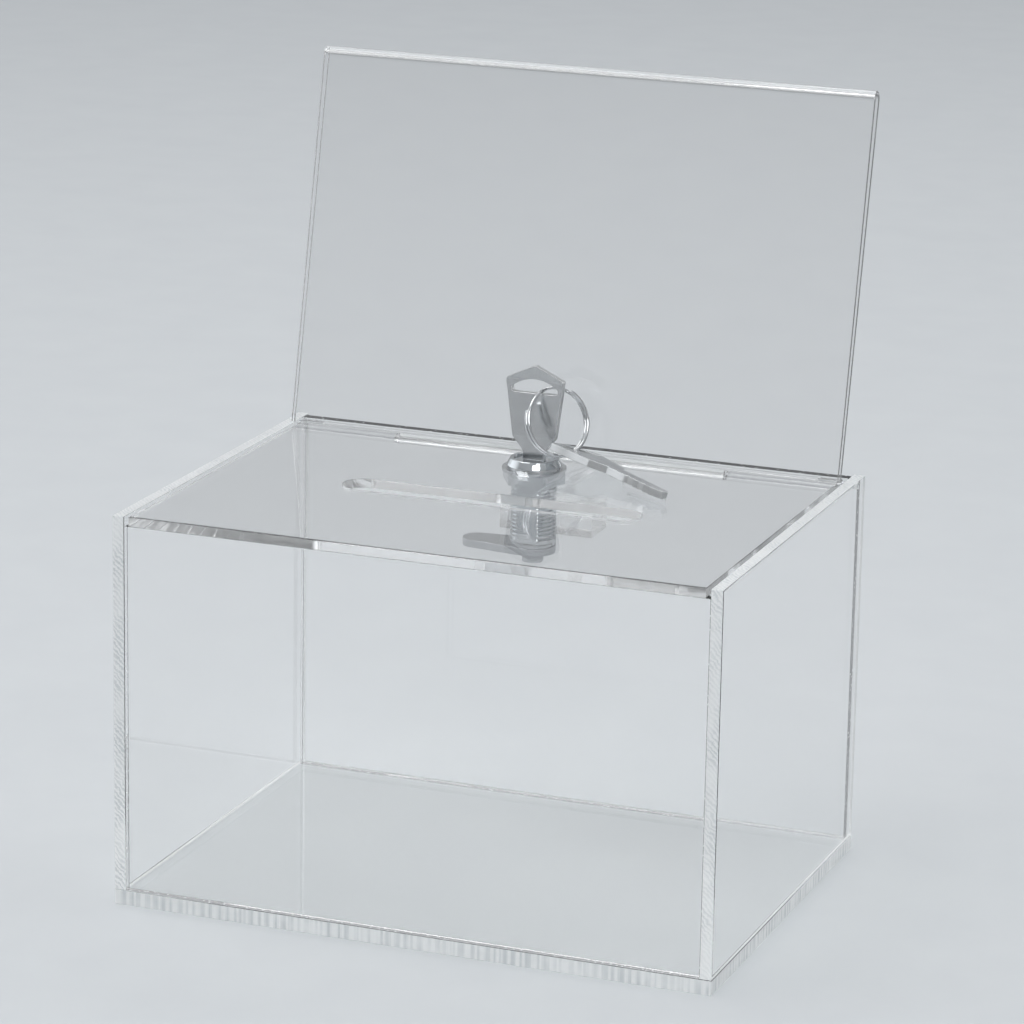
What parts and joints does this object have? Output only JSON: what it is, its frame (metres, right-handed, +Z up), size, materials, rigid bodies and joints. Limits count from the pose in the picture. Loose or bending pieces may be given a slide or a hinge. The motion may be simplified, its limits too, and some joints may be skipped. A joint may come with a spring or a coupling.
{
  "type": "ballot box",
  "caption": "Clear acrylic ballot box with a hinged slotted lid, a cam lock with keys on a split ring, and a back-leaning folded sign holder on the lid.",
  "frame": {"origin": "middle of the base's underside", "axes": "+X to the right seen from the front, +Y to the back where the lid is hinged, +Z up"},
  "size_m": [0.16, 0.1274, 0.2017],
  "materials": {
    "clear_acrylic": "clear and polished, with saw-cut edges on the base and sides",
    "steel": "zinc plated",
    "chromed_zinc": "bright chrome",
    "brass": "stamped",
    "nickel": "satin nickel plate"
  },
  "bodies": {
    "box": {"base_panel": "clear_acrylic", "left_side_panel": "clear_acrylic", "right_side_panel": "clear_acrylic", "front_panel": "clear_acrylic", "back_panel": "clear_acrylic", "keeper_block": "clear_acrylic"},
    "lid": {"lid_panel": "clear_acrylic", "left_hinge_pin": "steel", "right_hinge_pin": "steel", "lock_housing": "chromed_zinc", "lock_washer": "steel", "lock_nut": "chromed_zinc"},
    "sign": {"sign_holder": "clear_acrylic"},
    "lock_core": {"lock_plug": "chromed_zinc", "lock_wafers": "brass", "wafer_springs": "steel", "cam_stop_washer": "steel", "lock_cam": "steel", "cam_spring_washer": "steel", "cam_screw": "steel"},
    "key": {"lock_key": "nickel"},
    "ring": {"key_ring": "nickel"},
    "second_key": {"spare_key": "nickel"}
  },
  "joints": [
    {"name": "lid_hinge", "type": "hinge", "parent": "box", "child": "lid", "pos_m": [0, 0.05145, 0.10125], "axis": [-1, 0, 0], "range_deg": [0, 100]},
    {"name": "sign_lift", "type": "slide", "parent": "lid", "child": "sign", "axis": [0, 0.2079, 0.9781], "range_m": [0, 0.01]},
    {"name": "lock_turn", "type": "hinge", "parent": "lid", "child": "lock_core", "pos_m": [-0.0022, 0.0324, 0.1025], "axis": [0, 0, -1], "range_deg": [0, 90]},
    {"name": "key_draw", "type": "slide", "parent": "lock_core", "child": "key", "axis": [0, 0, 1], "range_m": [0, 0.024]},
    {"name": "ring_swing", "type": "hinge", "parent": "key", "child": "ring", "pos_m": [0.00033, 0.0324, 0.12279], "axis": [-0.5163, -0.8271, -0.2223], "range_deg": [0, 30]},
    {"name": "spare_lift", "type": "hinge", "parent": "ring", "child": "second_key", "pos_m": [0.00798, 0.03334, 0.10664], "axis": [-0.4619, -0.8204, -0.3372], "range_deg": [0, 20]}
  ]
}
